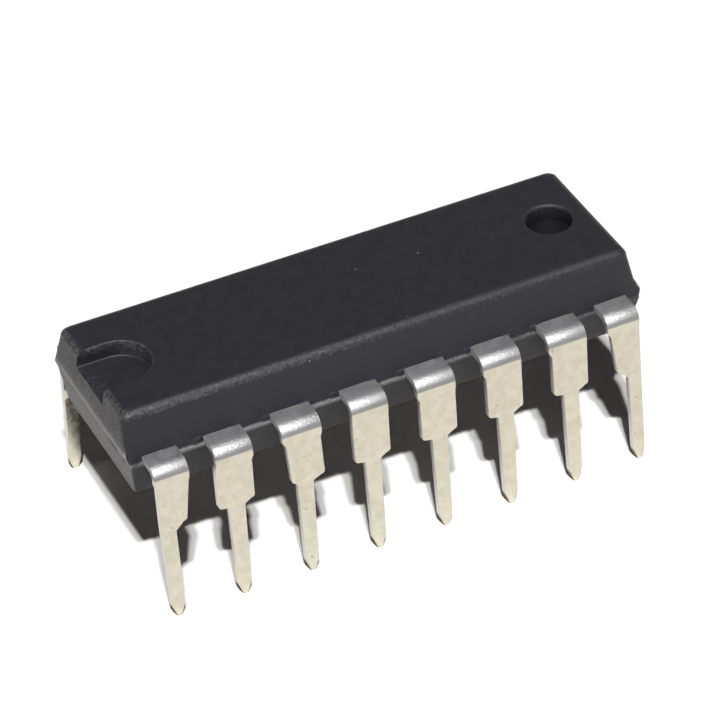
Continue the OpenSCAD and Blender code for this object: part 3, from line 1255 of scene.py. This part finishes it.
@dataclass
class LeadSide:
    """One side of a lead seen from in front, as distances from the middle of the lead.

    The nodes of the point are heights above the tip and distances from the middle.
    """

    stub: float = 0.74
    shoulder: float = 0.68
    foot: float = 0.68
    dam_height: float = 5.42
    foot_height: float = 3.86
    foot_radius: float = 0.12
    taper: float = 0.1
    pin: float = 0.295
    pin_low: float = 0.25
    point: tuple[tuple[float, float], ...] = (
        (0.0, 0.045), (0.035, 0.085), (0.09, 0.118), (0.17, 0.145), (0.3, 0.19),
    )

    def nodes(self) -> Outline:
        """Lists the side's outline from the tip up.

        Returns:
            Height above the tip and distance from the middle.
        """
        radius = min(self.foot_radius, max(0.0, self.foot - self.pin - 0.02))
        nodes = [*self.point, (0.45, self.pin_low - 0.008), (0.6, self.pin_low)]
        bottom = self.foot_height - radius
        nodes.append((bottom - self.taper - 0.08, self.pin))
        if self.foot > self.pin + 0.03:
            nodes.append((bottom - self.taper, self.pin + 0.015))
            nodes.append((bottom, self.foot - radius))
            for degrees in (30, 60, 90):
                angle = math.radians(degrees)
                reach = self.foot - radius * (1 - math.sin(angle))
                nodes.append((bottom + radius * (1 - math.cos(angle)), reach))
        nodes.append((self.dam_height - 0.1, self.shoulder))
        nodes.append((self.dam_height + 0.06, self.stub))
        nodes.append((self.dam_height + 0.5, self.stub))
        return nodes


@dataclass
class Lead:
    """One lead, extruded from its root through the bend to its point."""

    number: int
    left: LeadSide
    right: LeadSide
    splay: float = 5.5
    tip_shift: float = 0.0
    sideways: float = 0.013
    pitch: float = 2.54
    leads_per_row: int = 8
    thickness: float = 0.25
    frame_bottom: float = 5.82
    row_face: float = 4.18
    bend_radius: float = 0.45
    root_place: float = 2.75
    bend_steps: int = 14
    strip: float = 0.045
    edge_round: float = 0.028

    @property
    def middle(self) -> float:
        """Distance of the lead from the middle of the chip, along the body."""
        return (self.number - 1 - (self.leads_per_row - 1) / 2) * self.pitch

    def draw(self) -> bpy.types.Object:
        """Extrudes the lead.

        Returns:
            The lead as a closed mesh, with sharp edges.
        """
        t = self.thickness
        top = self.frame_bottom + t
        left, right = self.left.nodes(), self.right.nodes()
        clear_selection()
        bpy.ops.mesh.primitive_plane_add(size=t * MM)
        piece = bpy.context.object
        ends = (self.middle - self.left.stub, self.middle + self.right.stub)
        corners = [(across, up) for up in (self.frame_bottom, top) for across in ends]
        for vertex, (across, up) in zip(piece.data.vertices, corners):
            vertex.co = Vector((across, -self.root_place, up)) * MM
        bend_y = self.bend_radius - self.row_face
        bend_z = top - self.bend_radius
        splay = math.radians(self.splay)
        first = 0.3
        bpy.ops.object.mode_set(mode="EDIT")
        bpy.ops.mesh.select_all(action="SELECT")
        for reach in (first, -bend_y - self.root_place - first - self.strip, self.strip):
            bpy.ops.mesh.extrude_region_move(TRANSFORM_OT_translate={"value": (0.0, -reach * MM, 0.0)})
        bpy.ops.mesh.spin(
            steps=self.bend_steps, angle=splay - math.pi / 2,
            center=(0.0, bend_y * MM, bend_z * MM), axis=(1.0, 0.0, 0.0),
        )
        here = bend_z + (self.bend_radius - t / 2) * math.sin(splay)
        tip = t / 2 * math.sin(splay)
        heights = sorted({z for z, _ in left} | {z for z, _ in right}, reverse=True)
        heights = [z for z in heights if tip < z < here - self.strip - 0.02]
        for height in (here - self.strip, *heights, tip):
            fall = here - height
            here = height
            bpy.ops.mesh.extrude_region_move(
                TRANSFORM_OT_translate={"value": (0.0, -fall * math.tan(splay) * MM, -fall * MM)}
            )
            self.place_sides(piece, height, left, right)
        bpy.ops.mesh.select_all(action="SELECT")
        bpy.ops.mesh.remove_doubles(threshold=0.0005 * MM)
        bpy.ops.mesh.normals_make_consistent(inside=False)
        bpy.ops.object.mode_set(mode="OBJECT")
        for vertex in piece.data.vertices:
            vertex.co.x += self.sideways * vertex.co.z
        return piece

    def place_sides(
        self, piece: bpy.types.Object, height: float, left: Outline, right: Outline
    ) -> None:
        """Sets the selected section of the leg to its width at a height.

        Args:
            piece: The lead in edit mode, with the section's face selected.
            height: Height of the section above the tip.
            left: The left side's outline.
            right: The right side's outline.
        """
        mesh = bmesh.from_edit_mesh(piece.data)
        chosen = [v for v in mesh.verts if v.select]
        centre = sum(v.co.x for v in chosen) / len(chosen)
        shift = self.tip_shift * ramp(height, 4.0, 0.0)
        for vertex in chosen:
            side = Hand.LEFT if vertex.co.x < centre else Hand.RIGHT
            reach = between(height, left if side is Hand.LEFT else right)
            vertex.co.x = (self.middle + shift + side.value * reach) * MM
        bmesh.update_edit_mesh(piece.data)

    def build(self, material: bpy.types.Material) -> bpy.types.Object:
        """Builds and dresses the lead.

        Args:
            material: The plating's material.

        Returns:
            The finished piece.
        """
        piece = self.draw()
        apply_modifier(
            piece, "BEVEL", width=self.edge_round * MM, segments=2,
            limit_method="ANGLE", angle_limit=math.radians(46),
        )
        piece.data.materials.clear()
        piece.data.materials.append(material)
        smooth(piece, 35)
        self.declare(piece, self.number)
        return piece

    def declare(self, piece: bpy.types.Object, number: int) -> None:
        """Names a lead, hangs it on the root and hides the solid that it stands for.

        Args:
            piece: The lead.
            number: Its number on the chip.
        """
        piece.name = piece.data.name = f"plated_lead_{number}"
        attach(piece, "root")
        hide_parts(f"lead_{number}")


@dataclass
class LeadRows:
    """Both rows of leads. The far row is the near one turned half round."""

    leads_per_row: int = 8
    first_splay: float = 3.96
    splay_step: float = 0.31
    most_splay: float = 5.5
    left_stubs: tuple[float, ...] = (0.29, 0.60, 0.70, 0.65, 0.73, 0.75, 0.77, 1.02)
    right_stubs: tuple[float, ...] = (0.97, 0.76, 0.76, 0.71, 0.72, 0.70, 0.70, 0.23)

    def sides(self, number: int) -> tuple[LeadSide, LeadSide]:
        """Gives the two sides of a lead of the near row.

        Args:
            number: The lead, from 1 to 8.

        Returns:
            Its left and right sides.
        """
        left, right = self.left_stubs[number - 1], self.right_stubs[number - 1]
        if number == 1:
            return (LeadSide(stub=left, shoulder=0.25, foot=0.25, pin=0.25),
                    LeadSide(stub=right, shoulder=0.92, foot=0.74, foot_height=3.9, taper=0.28))
        if number == 3:
            return (LeadSide(stub=left, shoulder=0.59, foot=0.48),
                    LeadSide(stub=right, shoulder=0.70, foot=0.74, foot_height=3.92, taper=0.14))
        if number == self.leads_per_row:
            return (LeadSide(stub=left, shoulder=0.90, foot=0.72, foot_height=3.88, taper=0.28),
                    LeadSide(stub=right, shoulder=0.21, foot=0.21, pin=0.21, pin_low=0.21))
        return (LeadSide(stub=left, shoulder=0.66, foot=0.66, foot_height=3.84, taper=0.05),
                LeadSide(stub=right, shoulder=0.69, foot=0.67, foot_height=3.92, taper=0.14))

    def build(self, material: bpy.types.Material) -> list[bpy.types.Object]:
        """Builds both rows.

        Args:
            material: The plating's material.

        Returns:
            The sixteen leads.
        """
        made = []
        for number in range(1, self.leads_per_row + 1):
            left, right = self.sides(number)
            splay = min(self.most_splay, self.first_splay + self.splay_step * (number - 1))
            lead = Lead(number, left, right, splay=splay, tip_shift=0.09 if number == 1 else 0.0)
            piece = lead.build(material)
            made.append(piece)
            other = turned_copy(piece, f"plated_lead_{number + self.leads_per_row}")
            lead.declare(other, number + self.leads_per_row)
            made.append(other)
        return made


# The inside and the studio


@dataclass
class Inside:
    """The solids that stay as they were packed: pad, bond layer, die and wires."""

    finishes: dict[str, PlainMetal] = field(default_factory=lambda: {
        "die_pad": PlainMetal("frame_alloy", (0.42, 0.36, 0.28), (0.56, 0.50, 0.42), 0.38),
        "die_attach": PlainMetal("die_bond", (0.40, 0.39, 0.36), (0.52, 0.50, 0.46), 0.5),
        "die": PlainMetal("silicon", (0.12, 0.13, 0.16), (0.19, 0.20, 0.24), 0.2),
        "bond_wire": PlainMetal("gold_wire", (0.80, 0.55, 0.20), (0.90, 0.66, 0.28), 0.25),
    })

    def dress(self, nodes: dict[str, bpy.types.Object], effects: SharedEffects) -> None:
        """Gives each kept solid its material.

        Args:
            nodes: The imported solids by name.
            effects: The shared node groups.
        """
        for start, finish in self.finishes.items():
            material = finish.make(effects)
            for name, node in nodes.items():
                if name == start or name.startswith(f"{start}_") and name.rsplit("_", 1)[1].isdigit():
                    for slot in node.material_slots:
                        slot.material = material
                    LOG.info("dressed %s", name)


@dataclass
class Studio:
    """Camera, floor, key lamps and a dim room, all in the photograph's directions."""

    azimuth: float = 23.634
    elevation: float = 37.847
    roll: float = -3.350
    distance: float = 141.309
    aim: tuple[float, float, float] = (0.861, 1.060, 3.5)
    focal_pixels: float = 4015.15
    picture: int = 720
    sensor: float = 36.0
    floor_radius: float = 600.0
    backdrop_height: float = 100.0
    key_travel: tuple[float, float, float] = (0.204, 0.567, -1.0)
    key_power: float = 1.75
    key_spread: float = 2.5
    key_size: float = 1.8
    room: Colour = (0.009, 0.0085, 0.011)
    seen_back: Colour = (0.13, 0.13, 0.145)
    seen_front: Colour = (0.38, 0.38, 0.39)
    seen_lamp: Colour = (1.2, 1.2, 1.22)
    lamp_way: tuple[float, float, float] = (0.03, -0.24, 0.97)
    lamp_edge: tuple[float, float] = (0.74, 0.88)
    front_edge: tuple[float, float] = (0.2, -0.5)

    def make_camera(self) -> bpy.types.Object:
        """Makes the scene's camera.

        Returns:
            The camera.
        """
        azimuth, elevation, roll = (math.radians(v) for v in (self.azimuth, self.elevation, self.roll))
        level = -math.cos(elevation)
        back = Vector((math.sin(azimuth) * level, math.cos(azimuth) * level, math.sin(elevation)))
        right = Vector((math.cos(azimuth), -math.sin(azimuth), 0.0))
        up = back.cross(right)
        across = math.cos(roll) * right + math.sin(roll) * up
        upward = -math.sin(roll) * right + math.cos(roll) * up
        data = bpy.data.cameras.new("camera")
        data.sensor_width = self.sensor
        data.lens = self.focal_pixels / self.picture * self.sensor
        data.clip_start, data.clip_end = 0.001, 10.0
        camera = bpy.data.objects.new("camera", data)
        turn = Matrix((across, upward, back)).transposed().to_4x4()
        spot = (Vector(self.aim) + back * self.distance) * MM
        camera.matrix_world = Matrix.Translation(spot) @ turn
        bpy.context.scene.collection.objects.link(camera)
        bpy.context.scene.camera = camera
        return camera

    def make_floor(self) -> bpy.types.Object:
        """Makes the round floor, with an edge that curves up into a low backdrop.

        Returns:
            The floor.
        """
        clear_selection()
        bpy.ops.mesh.primitive_circle_add(vertices=96, radius=self.floor_radius * MM, fill_type="NGON")
        floor = bpy.context.object
        floor.name = floor.data.name = "floor"
        bpy.ops.object.mode_set(mode="EDIT")
        select_edges(floor, lambda edge: edge.is_boundary)
        steps = 6
        stride = self.backdrop_height / steps
        for index in range(steps):
            angle = math.radians(90 * (index + 0.5) / steps)
            rise = stride * math.sin(angle) * 1.5
            grow = 1 + math.cos(angle) * stride / self.floor_radius
            bpy.ops.mesh.extrude_region_move(TRANSFORM_OT_translate={"value": (0.0, 0.0, rise * MM)})
            bpy.ops.transform.resize(value=(grow, grow, 1.0), center_override=(0.0, 0.0, 0.0))
        bpy.ops.object.mode_set(mode="OBJECT")
        smooth(floor, 60)
        floor.data.materials.append(PaleFloor("floor").make())
        return floor

    def make_lamps(self) -> None:
        """Makes the two key lamps, a few degrees apart to the left and right."""
        travel = Vector(self.key_travel).normalized()
        side = travel.cross(UP).normalized()
        for hand in Hand:
            turn = Matrix.Rotation(math.radians(self.key_spread / 2 * hand.value), 3, travel.cross(side))
            aim = turn @ travel
            data = bpy.data.lights.new(f"key_{hand.name.lower()}", "SUN")
            data.energy = self.key_power
            data.angle = math.radians(self.key_size)
            lamp = bpy.data.objects.new(data.name, data)
            lamp.rotation_mode = "QUATERNION"
            lamp.rotation_quaternion = aim.to_track_quat("-Z", "Y")
            bpy.context.scene.collection.objects.link(lamp)

    def make_room(self) -> None:
        """Makes the dim even light of the room, with what gloss shows of it.

        Gloss shows a wide soft lamp above and in front, a grey front and a darker back.
        """
        world = bpy.data.worlds.new("room")
        bpy.context.scene.world = world
        nodes = empty_nodes(world)
        way = nodes.put("ShaderNodeTexCoord").outputs["Generated"]
        facing = nodes.put("ShaderNodeVectorMath", operation="DOT_PRODUCT")
        nodes.feed(way, facing.inputs[0])
        facing.inputs[1].default_value = Vector(self.lamp_way).normalized()
        colour = nodes.layers(
            self.seen_back, (nodes.step(nodes.split(way)["Y"], *self.front_edge), self.seen_front),
            (nodes.step(facing.outputs["Value"], *self.lamp_edge), self.seen_lamp),
        )
        rays = nodes.put("ShaderNodeLightPath").outputs
        seen = nodes.sum("ADD", rays["Is Glossy Ray"], rays["Is Transmission Ray"], clamp=True)
        light = nodes.put("ShaderNodeBackground")
        nodes.feed(nodes.blend(seen, self.room, colour), light.inputs["Color"])
        nodes.feed(light.outputs[0], nodes.put("ShaderNodeOutputWorld").inputs[0])

    def build(self) -> None:
        """Sets up the whole studio."""
        self.make_camera()
        self.make_floor()
        self.make_lamps()
        self.make_room()
        bpy.context.scene.view_settings.view_transform = "Standard"


def main() -> None:
    """Builds the studio and every piece."""
    logging.basicConfig(level=logging.INFO, format="%(name)s %(relativeCreated)d ms: %(message)s")
    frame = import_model()
    effects = SharedEffects()
    Studio().build()
    LOG.info("studio ready")
    body = MouldedBody().build(MouldedEpoxy("moulded_epoxy").make(effects))
    LOG.info("%s: %d faces", body.name, len(body.data.polygons))
    for lead in LeadRows().build(TinPlating("tin_plating").make(effects)):
        LOG.info("%s: %d faces", lead.name, len(lead.data.polygons))
    Inside().dress(frame["nodes"], effects)


if __name__ == "__main__":
    main()
